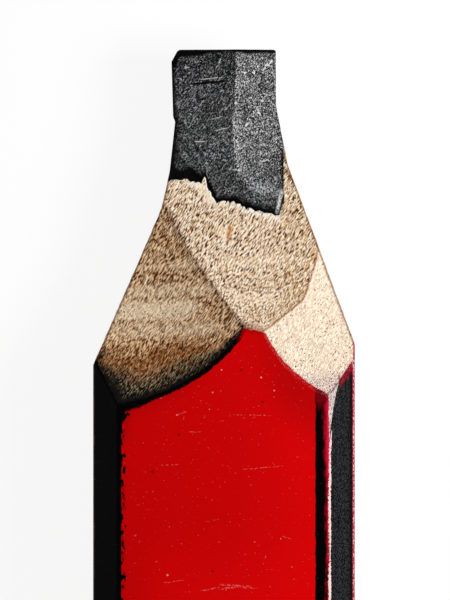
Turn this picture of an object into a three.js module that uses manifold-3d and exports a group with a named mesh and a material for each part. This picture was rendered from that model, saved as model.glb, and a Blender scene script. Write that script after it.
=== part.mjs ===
// A flat carpenter's pencil, worn down to a stub and sharpened with a knife.
// Millimetres. The stub lies on its back face: X across, Y toward the lead's tip, Z up.
import * as THREE from "three";
import { mergeVertices } from "three/addons/utils/BufferGeometryUtils.js";
import Module from "manifold-3d";

// Driving dimensions
const STUB_LENGTH = 55;
const BODY_WIDTH = 14;
const BODY_THICKNESS = 7.2;
const BEVEL = 1.38;
const LEAD_WIDTH = 6.3;
const LEAD_THICKNESS = 2.4;
const LEAD_OFFSET = 0.1;
const GLUE_LINE = 0.04;

// How far the knife cuts on the back start behind those on the front
const BACK_SETBACK = 0.8;
// How far the bare lead is worn down below the wood around it
const LEAD_WEAR = 0.08;
// Size of one flat of a hollow cut, and how far a cutting solid reaches past what it cuts
const CUT_CELL = 0.75;
const REACH = 3;
// Corners nearer than this are one corner
const WELD = 1e-5;

const halfWidth = BODY_WIDTH / 2;
const halfThickness = BODY_THICKNESS / 2;
const halfLead = LEAD_THICKNESS / 2;
const tipY = STUB_LENGTH / 2;
const leadSides = { left: LEAD_OFFSET - LEAD_WIDTH / 2, right: LEAD_OFFSET + LEAD_WIDTH / 2 };

// The side cuts, seen from above. Each point is how far outside the lead's side it lies, and how far from
// the tip. Behind the last point the cut runs straight, at the taper in degrees, out of the body's side.
const SIDE_CUTS = {
  left: {
    points: [
      { out: -0.57, fromTip: 0 },
      { out: -0.22, fromTip: 0.65 },
      { out: -0.41, fromTip: 3.9 },
      { out: -0.13, fromTip: 6.6 },
      { out: 0.33, fromTip: 8.55 },
    ],
    taper: 24,
  },
  right: {
    points: [
      { out: -0.53, fromTip: 0 },
      { out: -0.53, fromTip: 3 },
      { out: 0.13, fromTip: 6.2 },
    ],
    taper: 20.3,
  },
};

// The hollow knife cuts. A cut passes at the given height above the middle plane over a point that lies
// across and fromTip. Its run is turned in degrees from the pencil's length. Along the run it climbs by its
// slope and, behind the point, on a curve of the entry radius. Across the run it is hollow.
const WOOD_CUTS = [
  {
    across: 1.1,
    fromTip: 9.9,
    height: halfLead + 0.19,
    turn: -11,
    slope: 0.103,
    entryRadius: 7.6,
    crossRadius: 83,
  },
  {
    across: 2 - halfWidth,
    fromTip: 10.6,
    height: 1,
    turn: 75.5,
    slope: 0.152,
    entryRadius: 19.7,
    crossRadius: 15.5,
  },
  {
    across: halfWidth - 3.4,
    fromTip: 14.8,
    height: 2.78,
    turn: -61,
    slope: 0.5,
    entryRadius: 60,
    crossRadius: 12.4,
  },
];
const LEAD_CUTS = [
  { ...WOOD_CUTS[0], height: WOOD_CUTS[0].height - LEAD_WEAR, slope: 0.06 },
  {
    across: 0.8,
    fromTip: 7.2,
    height: halfLead - 0.1,
    turn: 25,
    slope: 0.104,
    entryRadius: 9,
    crossRadius: 16.4,
  },
  {
    across: 2.4,
    fromTip: 6.6,
    height: halfLead - 0.38,
    turn: -15,
    slope: 0.095,
    entryRadius: 9.5,
    crossRadius: 17,
  },
];

const wasm = await Module();
wasm.setup();

function toSolid(geometry) {
  const bare = geometry.clone();
  bare.deleteAttribute("normal");
  bare.deleteAttribute("uv");
  const merged = mergeVertices(bare, WELD);
  const vertProperties = new Float32Array(merged.attributes.position.array);
  const triVerts = new Uint32Array(merged.index.array);
  return new wasm.Manifold(new wasm.Mesh({ numProp: 3, vertProperties, triVerts }));
}

function toGeometry(solid) {
  const { vertProperties, triVerts } = solid.getMesh();
  const geometry = new THREE.BufferGeometry();
  geometry.setAttribute("position", new THREE.BufferAttribute(vertProperties, 3));
  geometry.setIndex(new THREE.BufferAttribute(triVerts, 1));
  geometry.computeVertexNormals();
  return geometry;
}

// Height of a hollow cut above the middle plane, z = height + slope u + max(u, 0)^2 / 2R + v^2 / 2r
function cutHeight(cut, x, fromTip) {
  const turn = THREE.MathUtils.degToRad(cut.turn);
  const dx = x - cut.across;
  const dy = fromTip - cut.fromTip;
  const along = dx * Math.sin(turn) + dy * Math.cos(turn);
  const aside = dx * Math.cos(turn) - dy * Math.sin(turn);
  const entry = Math.max(along, 0) ** 2 / (2 * cut.entryRadius);
  const hollow = aside ** 2 / (2 * cut.crossRadius);
  return cut.height + cut.slope * along + entry + hollow;
}

// What one knife cut takes away from the front: a block whose underside is bent to the hollow of the cut
function knifeCut(cut) {
  const width = BODY_WIDTH + 2 * REACH;
  const top = halfThickness + REACH;
  const length = STUB_LENGTH + 2 * REACH;
  const columns = Math.ceil(width / CUT_CELL);
  const rows = Math.ceil(length / CUT_CELL);
  const block = new THREE.BoxGeometry(width, length, top, columns, rows, 1);
  const position = block.attributes.position;
  for (let i = 0; i < position.count; i += 1) {
    const x = position.getX(i);
    const low = cutHeight(cut, x, tipY - position.getY(i));
    position.setZ(i, position.getZ(i) < 0 ? low : Math.max(top, low + REACH));
  }
  return block;
}

// The same cut made from the back, as when the pencil is rolled over in the hand
function rolledCut(cut) {
  return knifeCut({ ...cut, fromTip: cut.fromTip + BACK_SETBACK }).rotateY(Math.PI);
}

// Points of one side cut from the tip to past the body's side
function sideLine(name, outward) {
  const { points, taper } = SIDE_CUTS[name];
  const line = points.map(({ out, fromTip }) => {
    return new THREE.Vector2(leadSides[name] + outward * out, tipY - fromTip);
  });
  const heel = line[line.length - 1];
  const edgeX = outward * (halfWidth + REACH);
  const run = Math.abs(edgeX - heel.x) / Math.tan(THREE.MathUtils.degToRad(taper));
  line.push(new THREE.Vector2(edgeX, heel.y - run));
  line.push(new THREE.Vector2(edgeX, -tipY - REACH));
  return line;
}

// Everything that the side cuts leave, as an upright prism
function sideOutline() {
  const left = sideLine("left", -1);
  const right = sideLine("right", 1);
  const shape = new THREE.Shape([...left.reverse(), ...right]);
  const depth = BODY_THICKNESS + 2 * REACH;
  const prism = new THREE.ExtrudeGeometry(shape, { depth, bevelEnabled: false });
  return prism.translate(0, 0, -depth / 2);
}

// One half of the casing before sharpening: half of a bevelled bar, grooved for the lead.
// The side is 1 for the half above the middle plane and -1 for the half below it.
function grooveSlat(side) {
  const seam = GLUE_LINE / 2;
  const grooveLeft = leadSides.left - GLUE_LINE;
  const grooveRight = leadSides.right + GLUE_LINE;
  const grooveFloor = halfLead + GLUE_LINE;
  const section = [
    [-halfWidth, seam],
    [-halfWidth, halfThickness - BEVEL],
    [BEVEL - halfWidth, halfThickness],
    [halfWidth - BEVEL, halfThickness],
    [halfWidth, halfThickness - BEVEL],
    [halfWidth, seam],
    [grooveRight, seam],
    [grooveRight, grooveFloor],
    [grooveLeft, grooveFloor],
    [grooveLeft, seam],
  ];
  const shape = new THREE.Shape(section.map(([x, z]) => new THREE.Vector2(x, side * z)));
  const bar = new THREE.ExtrudeGeometry(shape, { depth: STUB_LENGTH, bevelEnabled: false });
  return bar.rotateX(Math.PI / 2).translate(0, tipY, 0);
}

function leadStrip() {
  return new THREE.BoxGeometry(LEAD_WIDTH, STUB_LENGTH, LEAD_THICKNESS).translate(LEAD_OFFSET, 0, 0);
}

// A blank with its sides trimmed and the listed cuts taken off it
function sharpened(blank, cutters) {
  let solid = toSolid(blank).intersect(toSolid(sideOutline()));
  for (const cutter of cutters) {
    solid = solid.subtract(toSolid(cutter));
  }
  return toGeometry(solid);
}

function namedPiece(name, geometry, look) {
  const mesh = new THREE.Mesh(geometry, new THREE.MeshStandardMaterial(look));
  mesh.name = name;
  return mesh;
}

const frontCuts = WOOD_CUTS.map(knifeCut);
const backCuts = WOOD_CUTS.map(rolledCut);
const leadCuts = [...LEAD_CUTS.map(knifeCut), ...LEAD_CUTS.map(rolledCut)];
const woodLook = { color: 0xd8bd97, roughness: 0.75, metalness: 0 };
const graphiteLook = { color: 0x4a4b4d, roughness: 0.45, metalness: 0.2 };

const pencilStub = new THREE.Group();
pencilStub.add(
  namedPiece("front_slat", sharpened(grooveSlat(1), frontCuts), woodLook),
  namedPiece("back_slat", sharpened(grooveSlat(-1), backCuts), woodLook),
  namedPiece("lead", sharpened(leadStrip(), leadCuts), graphiteLook),
);
// The middle plane lies half the thickness above the surface that the stub rests on
pencilStub.position.z = halfThickness;

export default pencilStub;
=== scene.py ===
# %% [markdown]
# # A carpenter's pencil stub, whittled with a knife
#
# The pencil is a flat bar: two grooved wooden slats glued around a strip of lead, with a red lacquer
# that is black on the bevels. A knife has cut its end to hollow facets and left the lead blunt.
# This lesson lays a fine surface over the plain frame of the part. Every shape is a formula on a grid:
# the same knife cuts that made the frame decide where wood ends, where lacquer ends and where lead shows.

# %% Load the frame and measure it
from types import SimpleNamespace

import bpy
import numpy as np
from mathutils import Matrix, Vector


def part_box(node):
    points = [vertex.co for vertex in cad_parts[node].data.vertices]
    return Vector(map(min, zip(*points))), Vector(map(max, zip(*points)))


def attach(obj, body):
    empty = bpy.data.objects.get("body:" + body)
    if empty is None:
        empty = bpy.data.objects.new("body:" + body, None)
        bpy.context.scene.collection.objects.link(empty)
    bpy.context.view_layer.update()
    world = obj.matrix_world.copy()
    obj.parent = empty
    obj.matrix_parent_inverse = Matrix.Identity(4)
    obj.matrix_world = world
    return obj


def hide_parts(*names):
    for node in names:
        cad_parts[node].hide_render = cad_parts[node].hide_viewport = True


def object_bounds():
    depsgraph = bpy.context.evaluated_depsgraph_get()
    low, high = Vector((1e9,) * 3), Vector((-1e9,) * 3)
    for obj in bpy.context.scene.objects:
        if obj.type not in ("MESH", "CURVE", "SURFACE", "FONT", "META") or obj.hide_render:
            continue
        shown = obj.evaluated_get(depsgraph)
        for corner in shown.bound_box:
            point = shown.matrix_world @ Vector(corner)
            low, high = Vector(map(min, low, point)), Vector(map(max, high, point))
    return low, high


MM = 0.001
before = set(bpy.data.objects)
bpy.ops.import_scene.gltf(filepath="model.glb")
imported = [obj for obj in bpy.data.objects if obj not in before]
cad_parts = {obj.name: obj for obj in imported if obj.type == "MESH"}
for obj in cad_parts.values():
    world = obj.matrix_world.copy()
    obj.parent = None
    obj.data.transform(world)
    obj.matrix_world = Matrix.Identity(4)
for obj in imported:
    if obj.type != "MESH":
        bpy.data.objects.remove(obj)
cad_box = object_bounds()
lead_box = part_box("lead")

half_width = cad_box[1].x / MM
tip_y = cad_box[1].y / MM
middle = cad_box[1].z / MM / 2
lead_left = lead_box[0].x / MM
lead_right = lead_box[1].x / MM
lead_half = (lead_box[1].z - lead_box[0].z) / MM / 2
stub_length = 2 * tip_y
print(f"bar {2 * half_width:.1f} x {stub_length:.1f} x {2 * middle:.1f} mm")
print(f"lead {2 * lead_half:.1f} mm thick")

# %% [markdown]
# ## The knife's work
#
# Heights are measured from the middle plane, where the slats are glued, and lengths from the tip.
# One pass of the knife leaves a shallow trough. It could be sculpted, but a formula is exact and can be
# asked anywhere: it climbs along its run, steeper where the blade went in, and it is hollow across.
# The sides are trimmed upright. The back was cut the same way after rolling the pencil over.

# %% Knife cuts
BACK_SETBACK = 0.8
CENTRE_CUT = dict(across=1.1, from_tip=9.9, height=1.39, turn=-11, slope=0.103, entry=7.6, hollow=83)
LEFT_CUT = dict(across=-5, from_tip=10.6, height=1, turn=75.5, slope=0.152, entry=19.7, hollow=15.5)
RIGHT_CUT = dict(across=3.6, from_tip=14.8, height=2.78, turn=-61, slope=0.5, entry=60, hollow=12.4)
RIGHT_CUT["swell"] = dict(across=4.15, from_tip=13.4, height=0.1, size=0.8)
WOOD_CUTS = [CENTRE_CUT, LEFT_CUT, RIGHT_CUT]

LEAD_BASE = dict(CENTRE_CUT, height=1.31, slope=0.06)
LEAD_LEFT = dict(across=0.8, from_tip=7.2, height=1.1, turn=25, slope=0.104, entry=9, hollow=16.4)
LEAD_RIGHT = dict(across=2.4, from_tip=6.6, height=0.82, turn=-15, slope=0.095, entry=9.5, hollow=17)
LEAD_RIGHT["lift"] = [(0, 0.06), (2.5, 0.025), (3.8, -0.005), (5, 0.02), (6.3, 0.07), (7.5, 0.14)]
LEAD_CUTS = [LEAD_BASE, LEAD_LEFT, LEAD_RIGHT]

# Side trims seen from above: distance from the tip, and how far outside the lead's side
LEFT_TRIM = [(0, -0.57), (0.65, -0.22), (3.6, -0.31), (3.9, -0.42), (6.6, -0.13), (8.55, 0.3), (30, 9.6)]
RIGHT_TRIM = [(0, -0.46), (3, -0.45), (6.2, 0.17), (30, 9.05)]


def cut_height(cut, x, from_tip):
    """Height of a trough: height + slope u + max(u, 0)^2 / 2R + v^2 / 2r, u along its run, v across.

    A blade that wavered adds a lift by the distance from the tip, or a swell about a place:
    h exp(-d^2 / s^2).
    """
    turn = np.radians(cut["turn"])
    dx = x - cut["across"]
    dy = from_tip - cut["from_tip"]
    along = dx * np.sin(turn) + dy * np.cos(turn)
    aside = dx * np.cos(turn) - dy * np.sin(turn)
    entry = np.maximum(along, 0) ** 2 / (2 * cut["entry"])
    height = cut["height"] + cut["slope"] * along + entry + aside**2 / (2 * cut["hollow"])
    if "lift" in cut:
        height = height + np.interp(from_tip, *np.array(cut["lift"]).T)
    if "swell" in cut:
        swell = cut["swell"]
        away = np.hypot(x - swell["across"], from_tip - swell["from_tip"])
        height = height + swell["height"] * np.exp(-((away / swell["size"]) ** 2))
    return height


def from_sides(x, from_tip):
    """Distance inside the nearer side trim, which stands upright beside the lead's side."""
    left = lead_left - np.interp(from_tip, *np.array(LEFT_TRIM).T)
    right = lead_right + np.interp(from_tip, *np.array(RIGHT_TRIM).T)
    return np.minimum(x - left, right - x)


def depth_inside(cuts, x, z, from_tip):
    """How far a point lies inside the whittled shape: the least of its depths under all the cuts."""
    front = np.min([cut_height(cut, x, from_tip) - z for cut in cuts], axis=0)
    back = np.min([cut_height(cut, -x, from_tip - BACK_SETBACK) + z for cut in cuts], axis=0)
    return np.minimum(from_sides(x, from_tip), np.where(z >= 0, front, back))


BISECTIONS = 40
SEARCH_FROM = -2.0
SEARCH_TO = 30.0


def halve(is_low, low, high):
    """Narrow a span by halving it, keeping the lower half wherever the answer is below the middle."""
    for _ in range(BISECTIONS):
        half = (low + high) / 2
        lower = is_low(half)
        high = np.where(lower, half, high)
        low = np.where(lower, low, half)
    return low, high


def leaves_at(x, z):
    """Distance from the tip at which a lengthwise line comes out of the wood."""
    low = np.full(np.shape(x), SEARCH_FROM)
    high = np.full(np.shape(x), SEARCH_TO)
    low, high = halve(lambda half: depth_inside(WOOD_CUTS, x, z, half) > 0, low, high)
    return (low + high) / 2


def ray_reach(cuts, x0, x, z, from_tip):
    """Share of the way from the axis to a section point at which a ray comes out, at most 1."""
    low = np.zeros(np.broadcast(x, from_tip).shape)
    high = np.ones_like(low)
    return halve(lambda half: depth_inside(cuts, x0 + half * x, half * z, from_tip) <= 0, low, high)[1]


print(f"{len(WOOD_CUTS)} hollow cuts on the wood and {len(LEAD_CUTS)} on the lead")

# %% [markdown]
# ## Sections with rounded corners
#
# Bar and lead are both prisms with flats at equal angles. A bevel modifier could round them, but the
# columns of the grid would then be Blender's choice. Here each flat and each corner arc gets as many
# columns as it needs, so that corners can carry fine wear while broad faces stay light.

# %% Section outline
BEVEL = 1.38
CORNER_RADIUS = 0.22
BAR_ARC = 6
bevel_distance = (half_width + middle - BEVEL) / np.sqrt(2)
BAR_FLATS = np.array([half_width, bevel_distance, middle, bevel_distance] * 2)


def rounded_section(distances, radius, flat_steps, arc_steps):
    """Points and normals round a section, from the middle of its right side, counter-clockwise to the top.

    Flat k faces the angle 2 pi k / n at its distance from the axis. An arc's point is a corner of the
    section shrunk by the radius, plus the radius along the normal, which turns from flat to flat.
    """
    count = len(distances)
    angle = 2 * np.pi * np.arange(count + 1) / count
    normals = np.stack([np.cos(angle), np.sin(angle)], axis=1)
    core = np.append(distances, distances[0]) - radius
    lean = np.cos(2 * np.pi / count)
    here = (core[:-1] - lean * core[1:]) / (1 - lean**2)
    ahead = (core[1:] - lean * core[:-1]) / (1 - lean**2)
    corners = here[:, None] * normals[:-1] + ahead[:, None] * normals[1:]
    points = []
    facing = []
    for k in range(count):
        slide = np.linspace(0, 1, flat_steps[k], endpoint=False)[:, None]
        turning = angle[k] + np.linspace(0, 2 * np.pi / count, arc_steps, endpoint=False)
        arc = np.stack([np.cos(turning), np.sin(turning)], axis=1)
        flat = corners[k - 1] * (1 - slide) + corners[k] * slide
        points += [flat + radius * normals[k], corners[k] + radius * arc]
        facing += [np.repeat(normals[k : k + 1], flat_steps[k], axis=0), arc]
    half_flat = flat_steps[0] // 2
    return np.roll(np.concatenate(points), -half_flat, 0), np.roll(np.concatenate(facing), -half_flat, 0)


print(f"the bar's flats lie {BAR_FLATS[:3].round(2)} mm from its axis")

# %% [markdown]
# ## From grids to meshes
#
# A grid of points becomes a mesh by naming the four corners of each cell. All the pieces here are
# closed: their rows run along the outside and back along the inside, so the last row joins the first.
# Smooth random hills, from a table of random numbers, give fibres, nicks and ragged edges.

# %% Mesh helpers
SHARP_ANGLE = np.radians(38)
TABLE_SIZE = 256
TABLE_SEED = 11
noise_table = np.random.default_rng(TABLE_SEED).random((TABLE_SIZE, TABLE_SIZE))


def hills(u, v):
    """Smooth noise from 0 to 1: table values on a unit grid, blended with t t (3 - 2 t) each way."""
    column = np.floor(u).astype(int)
    row = np.floor(v).astype(int)
    s = u - column
    t = v - row
    s = s * s * (3 - 2 * s)
    t = t * t * (3 - 2 * t)

    def line(row):
        row = row % TABLE_SIZE
        near = noise_table[row, column % TABLE_SIZE]
        far = noise_table[row, (column + 1) % TABLE_SIZE]
        return near * (1 - s) + far * s

    return line(row) * (1 - t) + line(row + 1) * t


def step(low, high, value):
    """Smooth step from 0 at low to 1 at high."""
    t = np.clip((value - low) / (high - low), 0, 1)
    return t * t * (3 - 2 * t)


def points_at(x, from_tip, z):
    """Points by their place across, distance from the tip and height."""
    return np.stack(np.broadcast_arrays(x, tip_y - from_tip, z), axis=-1)


def grid_cells(rows, columns, ring_rows, ring_columns):
    """Corner numbers of each cell, along the row direction first, so that faces point outwards."""
    number = np.arange(rows * columns).reshape(rows, columns)
    if ring_rows:
        number = np.concatenate([number, number[:1]], axis=0)
    if ring_columns:
        number = np.concatenate([number, number[:, :1]], axis=1)
    cells = np.stack([number[:-1, :-1], number[1:, :-1], number[1:, 1:], number[:-1, 1:]], axis=-1)
    return cells.reshape(-1, 4)


def make_piece(name, points, cells, caps, attributes):
    """Put points in millimetres from the middle plane, four-cornered cells and flat caps into an object."""
    mesh = bpy.data.meshes.new(name)
    points = (points + np.array([0, 0, middle])) * MM
    corners = np.concatenate([cells.ravel()] + caps).astype(np.int32)
    sizes = np.array([4] * len(cells) + [len(cap) for cap in caps])
    mesh.vertices.add(len(points))
    mesh.vertices.foreach_set("co", points.astype(np.float32).ravel())
    mesh.loops.add(len(corners))
    mesh.loops.foreach_set("vertex_index", corners)
    mesh.polygons.add(len(sizes))
    mesh.polygons.foreach_set("loop_start", (np.cumsum(sizes) - sizes).astype(np.int32))
    mesh.update(calc_edges=True)
    mesh.validate()
    mesh.shade_smooth()
    mesh.set_sharp_from_angle(angle=SHARP_ANGLE)
    for label, values in attributes.items():
        field = mesh.attributes.new(label, "FLOAT", "POINT")
        field.data.foreach_set("value", np.asarray(values, dtype=np.float32).ravel())
    piece = bpy.data.objects.new(name, mesh)
    bpy.context.collection.objects.link(piece)
    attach(piece, "root")
    print(f"{name}: {len(points)} points, {len(sizes)} faces")
    return piece


# %% [markdown]
# ## The slats
#
# A slat is what lies between two surfaces: the outside, found by shooting a ray from the axis to each
# section point and stopping it at the knife cuts, and the groove around the lead. Its rows start at the
# butt, jump to the edge of the lacquer and then follow the whittled wood in fine steps to the end, where
# the thin wood tore off along a ragged line. The fine rows start and stop exactly on those two edges, so
# both are crisp however they wander. Torn fibres stand up from the cut in small leaning ridges.

# %% Torn end of the wood
TINY = 1e-6
FRAY_LENGTH = 0.55
TUFT_SIZE = 0.23
BUNCH_SIZE = 0.31
BUNCH_SWAY = 0.2
THREAD_SIZE = 0.07
FIBRE_LEAN = np.radians(33)

# The torn line on the front, as across and distance from the tip, with one long splinter
TORN_END = [(-3.05, 7.0), (-2.9, 6.9), (-2.3, 7.06), (-1.85, 6.9), (-1.25, 7.18), (-1.03, 6.75)]
TORN_END += [(-0.92, 7.34), (-0.43, 8.15), (0.5, 8.15), (1.25, 8.5), (2.72, 8.87), (3, 8.75)]
TORN_END += [(3.22, 8.1)]


def wood_end(x, z):
    """Distance from the tip where the wood ends: a torn line on the lead's faces, the cut beside them."""
    front = z >= 0
    torn = np.interp(np.where(front, x, -x), *np.array(TORN_END).T) + np.where(front, 0, BACK_SETBACK)
    on_face = np.abs(z) > lead_half - TINY
    return np.where(on_face, torn, leaves_at(x, z))


def fray(x):
    """How much shorter each fibre has broken off, by its place across. Added numbers move the noise."""
    tufts = hills(x / TUFT_SIZE + 40, np.full_like(x, 3.3))
    bunched = x + BUNCH_SWAY * hills(x / BUNCH_SIZE + 3, np.full_like(x, 6.1))
    threads = hills(bunched / THREAD_SIZE + 9, np.full_like(x, 8.7))
    return FRAY_LENGTH * (0.3 * tufts**2 + 0.4 * threads**2 + 0.3 * threads**6)


def along_fibres(x, y):
    """Places across and along the fibres, which lean from the pencil's length."""
    across = x * np.cos(FIBRE_LEAN) - y * np.sin(FIBRE_LEAN)
    along = x * np.sin(FIBRE_LEAN) + y * np.cos(FIBRE_LEAN)
    return across, along


print(f"the torn line has {len(TORN_END)} points")

# %% Whittled wood
FILM = 0.08
UNDER_FILM = 3
FIBRE_RELIEF = 0.045
FIBRE_WIDTH = 0.1
FIBRE_LENGTH = 0.34
SEAM_GROOVE = 0.025
SEAM_WIDTH = 0.06
RELIEF_FADE = 0.2
LEAST_CUT = 0.5
LEAST_SKIN = 0.01
SINK = 0.05
FAR = 9


def whittled_slat(name, flip, flat_steps, rows):
    """One slat: rows run butt, under the film, whittled surface, torn end, groove and back to the butt."""
    points, normals = rounded_section(BAR_FLATS, CORNER_RADIUS, flat_steps, BAR_ARC)
    half = len(points) // 2 + 1
    x, z = (flip * (points - FILM * normals)[:half]).T
    groove = np.minimum(
        np.where(x > 0, lead_right, -lead_left) / np.maximum(np.abs(x), TINY),
        lead_half / np.maximum(np.abs(z), TINY),
    )
    lacquer_edge = leaves_at(x, z)
    end = wood_end(groove * x, groove * z) + fray(groove * x + 20 * flip)
    end = np.minimum(end, lacquer_edge - LEAST_CUT)
    share = np.linspace(0, 1, rows)[:, None]
    from_tip = np.concatenate([lacquer_edge[None] + UNDER_FILM, lacquer_edge * (1 - share) + end * share])
    reach = ray_reach(WOOD_CUTS, 0, x, z, from_tip)
    size = np.hypot(x, z)
    across, along = along_fibres(flip * reach * x, tip_y - from_tip)
    fibres = hills(across / FIBRE_WIDTH + 90, along / FIBRE_LENGTH + 60) - 0.5
    relief = FIBRE_RELIEF * fibres * step(0, RELIEF_FADE, lacquer_edge - from_tip)
    seam = SEAM_GROOVE * np.exp(-((z / SEAM_WIDTH) ** 2))
    reach = np.maximum(reach + (relief - seam) / size, groove + LEAST_SKIN / size)
    outer = points_at(reach * x, from_tip, reach * z)
    butt = points_at(x, stub_length, z)
    inner = groove - SINK / size
    inner_end = points_at(inner * x, end, inner * z)
    inner_butt = points_at(groove * x, stub_length, groove * z)
    grid = np.concatenate([butt[None], outer, inner_end[None], inner_butt[None]])
    count = len(grid)
    cells = grid_cells(count, half, True, False)
    first = np.arange(count) * half
    caps = [first[::-1], first + half - 1]
    run = from_tip - np.where(flip > 0, 0, BACK_SETBACK)
    centre, left, right = [cut_height(cut, flip * outer[..., 0], run) for cut in WOOD_CUTS]
    fields = {
        "left_cut": (np.minimum(centre, right) - left, -1),
        "right_cut": (np.minimum(centre, left) - right, -1),
        "from_lacquer": (lacquer_edge - from_tip, FAR),
        "from_end": (from_tip - end, FAR),
        "from_side": (from_sides(outer[..., 0], from_tip), FAR),
        "sawn": (np.zeros_like(from_tip), 1),
    }
    attributes = {}
    for label, (values, at_butt) in fields.items():
        plain = np.full((1, half), float(at_butt))
        attributes[label] = np.concatenate([plain, values, values[-1:], plain])
    return make_piece(name, grid.reshape(-1, 3), cells, caps, attributes)


front_slat = whittled_slat("front_slat_wood", 1, flat_steps=[80, 36, 216, 36] * 2, rows=190)
back_slat = whittled_slat("back_slat_wood", -1, flat_steps=[60, 24, 150, 24] * 2, rows=150)
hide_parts("front_slat")
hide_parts("back_slat")

# %% [markdown]
# ## The lead
#
# The lead is a strip that the same knife trimmed and then paper wore blunt. It is made like the slats,
# by rays from its own middle, but with its own cuts. Where the wood ends, the blade bit a little deeper,
# which leaves a dark step. The tip is a flat that is rounded over its last few hundredths. Grit and a few
# chips are real relief on the two worn faces, while the sides stay straight.

# %% Lead strip
LEAD_CORNER = 0.08
LEAD_ARC = 5
FACE_EDGE = (0.02, 0.12)
HIDDEN_END = 10.5
BITE_DEPTH = 0.14
BITE_WIDTH = 0.3
TIP_ROUND = 0.12
GRIT_RELIEF = 0.04
GRIT_SIZE = 0.085
GRIT_STRETCH = 1.8
CHIP_DEPTH = 0.06
CHIP_LEVELS = (0.84, 0.93)
CHIP_WIDTH = 0.28
CHIP_LENGTH = 0.22
BARE_FADE = 0.3


def worn_lead(name, flat_steps, rows):
    """The lead: a butt, a plain stretch inside the wood, a worn stretch in fine rows and a rounded tip."""
    half_lead_width = (lead_right - lead_left) / 2
    centre = (lead_right + lead_left) / 2
    distances = np.array([half_lead_width, lead_half] * 2)
    points, _ = rounded_section(distances, LEAD_CORNER, flat_steps, LEAD_ARC)
    x, z = points.T
    from_tip = np.linspace(HIDDEN_END, 0, rows)[:, None] + 0 * x
    reach = ray_reach(LEAD_CUTS, centre, x, z, from_tip)
    size = np.hypot(x, z)
    place = centre + reach * x
    to_side = np.minimum(from_sides(place, from_tip), np.minimum(place - lead_left, lead_right - place))
    face = step(*FACE_EDGE, to_side)
    on_face = wood_end(place, np.where(z >= 0, lead_half, -lead_half))
    beyond = np.where(face > 0, on_face, leaves_at(centre + x, z)) - from_tip
    bite = face * BITE_DEPTH * np.exp(-((beyond / BITE_WIDTH) ** 2))
    across, along = along_fibres(place, tip_y - from_tip)
    grit = hills(across / GRIT_SIZE + 5, along / GRIT_SIZE / GRIT_STRETCH) - 0.5
    chips = step(*CHIP_LEVELS, hills(place / CHIP_WIDTH + 70, from_tip / CHIP_LENGTH + 31))
    bare = face * step(0, BARE_FADE, beyond)
    relief = bare * (GRIT_RELIEF * grit - CHIP_DEPTH * chips)
    lap = np.sqrt(np.clip(1 - (1 - np.clip(from_tip / TIP_ROUND, 0, 1)) ** 2, 0, 1))
    shrink = TIP_ROUND * (1 - lap)
    reach = reach + (relief - bite - shrink) / size
    worn = points_at(centre + reach * x, from_tip, reach * z)
    butt = points_at(centre + x, stub_length, z)
    grid = np.concatenate([butt[None], worn])
    count = len(grid)
    columns = len(x)
    cells = grid_cells(count, columns, False, True)
    last = (count - 1) * columns
    caps = [np.arange(columns), last + np.arange(columns)[::-1]]
    turned = np.where(z >= 0, place, -place)
    run = from_tip - np.where(z >= 0, 0, BACK_SETBACK)
    base, left, right = [cut_height(cut, turned, run) for cut in LEAD_CUTS]
    fields = {
        "right_face": (np.minimum(base, left) - right, -1),
        "from_wood": (beyond, FAR),
        "from_tip": (from_tip, FAR),
        "from_side": (to_side, FAR),
    }
    attributes = {}
    for label, (values, at_butt) in fields.items():
        plain = np.full((1, columns), float(at_butt))
        attributes[label] = np.concatenate([plain, values])
    return make_piece(name, grid.reshape(-1, 3), cells, caps, attributes)


lead = worn_lead("worn_lead", flat_steps=[30, 150, 30, 90], rows=260)
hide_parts("lead")

# %% [markdown]
# ## The lacquer
#
# Lacquer is a film over the bar, so it is a thin closed sleeve: outside on the bar's own section, inside
# sunk a little into the wood. It ends where the knife cuts its surface, which gives the cut a real edge.
# Painting the wood red in its material would be simpler, but then the cut would show no thickness, the
# worn corners no step and the flake beside the right cut no hollow. Rows crowd towards the cut edge.

# %% Lacquer sleeve
FILM_ARC = 10
WEAR_DEPTH = 0.05
WEAR_WIDTH = 0.09
EVEN_WEAR = 0.4
NICK_LEVELS = (0.45, 0.9)
NICK_LENGTH = 0.5
NICK_WIDTH = 6
EDGE_CHIP = 0.14
EDGE_CHIP_SIZE = 0.16
FLAKE_LENGTH = 2.6
FLAKE_WIDTH = 1.0
FLAKE_EDGE = 0.04
WALL = 0.02
bevel_half = BEVEL / np.sqrt(2)


def bevel_distance_field(points, normals):
    """Arc length from the middle of the nearest bevel, positive towards the broad face."""
    lengths = np.hypot(*np.diff(points, axis=0, append=points[:1]).T)
    along = np.cumsum(lengths) - lengths
    facing = np.arctan2(normals[:, 1], normals[:, 0])
    bevels = np.arctan2([1, 1, -1, -1], [1, -1, -1, 1])
    middles = [along[np.isclose(facing, angle)].mean() for angle in bevels]
    toward_broad = np.array([1, -1, 1, -1])[:, None]
    offset = toward_broad * (along - np.array(middles)[:, None])
    perimeter = lengths.sum()
    offset = (offset + perimeter / 2) % perimeter - perimeter / 2
    return offset[np.abs(offset).argmin(axis=0), np.arange(len(points))], along


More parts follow.
